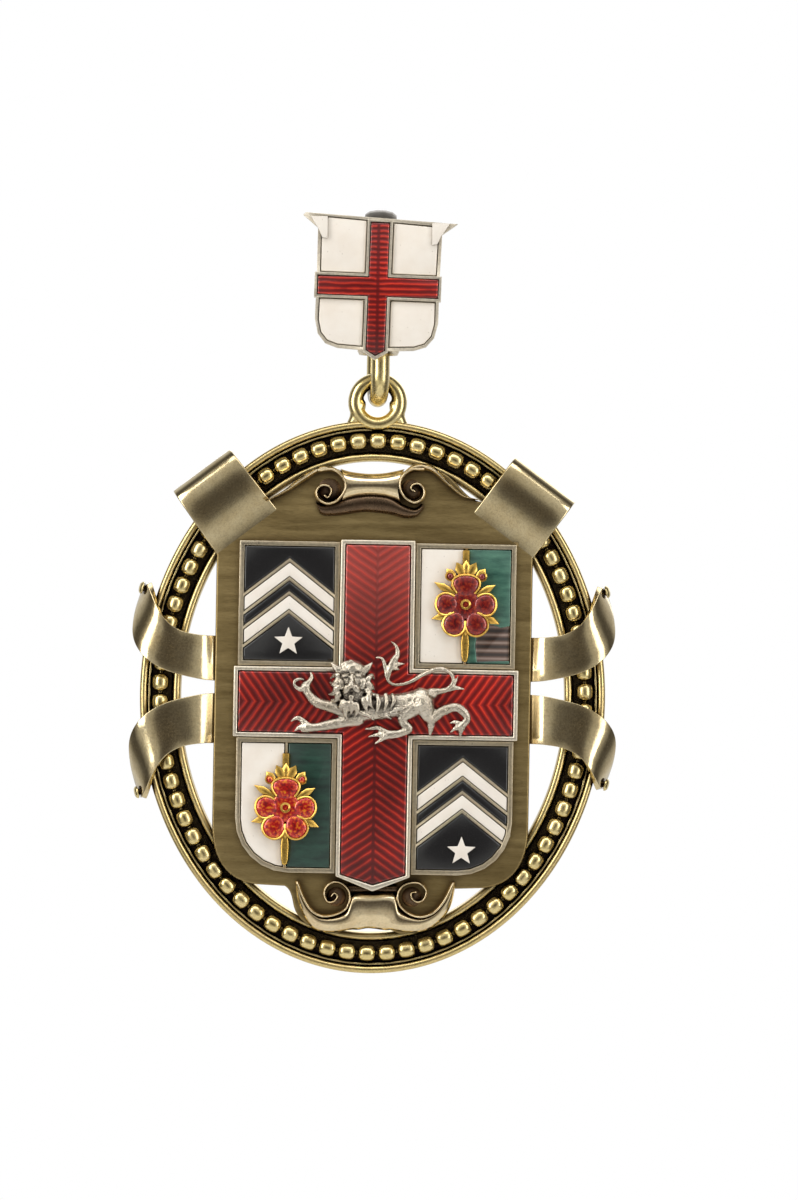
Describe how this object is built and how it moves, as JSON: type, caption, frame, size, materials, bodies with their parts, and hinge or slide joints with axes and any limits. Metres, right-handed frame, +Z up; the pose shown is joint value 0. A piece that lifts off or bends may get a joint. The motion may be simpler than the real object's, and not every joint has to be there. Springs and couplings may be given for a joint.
{
  "type": "pendant badge of office",
  "caption": "Enamelled oval badge with beaded frame, ribbon cartouche, quartered shield and lion, hung by an eye and link from a small enamelled shield with a back hook.",
  "frame": {"origin": "inside of the back hook's bend, at its crest, where the badge hangs", "axes": "+Z up, the front of the badge faces -Y, +X to the viewer's right"},
  "size_m": [0.0586, 0.0116, 0.0916],
  "materials": {
    "gilt": "polished silver-gilt with dark hollows",
    "brushed_gilt": "brushed brown-gold gilt, ribbons polished",
    "silver": "silver with traces of gilding",
    "gold": "bright gold",
    "dark_metal": "tarnished grey metal",
    "red_enamel": "translucent red enamel, glossy",
    "white_enamel": "opaque cream-white enamel, glossy",
    "black_enamel": "opaque black enamel, glossy",
    "green_enamel": "translucent green enamel, chipped"
  },
  "bodies": {
    "upper_shield": {"upper_shield": "silver", "upper_cross_enamel": "red_enamel", "back_hook": "dark_metal", "upper_white_enamel_1": "white_enamel", "upper_white_enamel_2": "white_enamel", "upper_white_enamel_3": "white_enamel", "upper_white_enamel_4": "white_enamel"},
    "link": {"suspension_link": "gilt"},
    "badge": {"oval_frame": "gilt", "beaded_wire": "gilt", "cartouche": "brushed_gilt", "ribbon_rivet_1": "gilt", "ribbon_rivet_2": "gilt", "ribbon_rivet_3": "gilt", "ribbon_rivet_4": "gilt", "main_shield": "silver", "main_cross": "silver", "main_cross_enamel": "red_enamel", "lion": "silver", "black_field_top_1": "black_enamel", "black_field_middle_1": "black_enamel", "black_field_low_1": "black_enamel", "chevronel_upper_1": "white_enamel", "chevronel_lower_1": "white_enamel", "star_1": "white_enamel", "white_field_2": "white_enamel", "green_field_2": "green_enamel", "rose_setting_2": "gold", "rose_enamel_2": "red_enamel", "white_field_3": "white_enamel", "green_field_3": "green_enamel", "rose_setting_3": "gold", "rose_enamel_3": "red_enamel", "black_field_top_4": "black_enamel", "black_field_middle_4": "black_enamel", "black_field_low_4": "black_enamel", "chevronel_upper_4": "white_enamel", "chevronel_lower_4": "white_enamel", "star_4": "white_enamel"}
  },
  "joints": [
    {"name": "link_swing", "type": "hinge", "parent": "upper_shield", "child": "link", "pos_m": [0, 0, -0.01555], "axis": [1, 0, 0], "range_deg": [-20, 30]},
    {"name": "badge_swing", "type": "hinge", "parent": "link", "child": "badge", "pos_m": [0, 0.0009, -0.02098], "axis": [0, 1, 0], "range_deg": [-20, 20]}
  ]
}
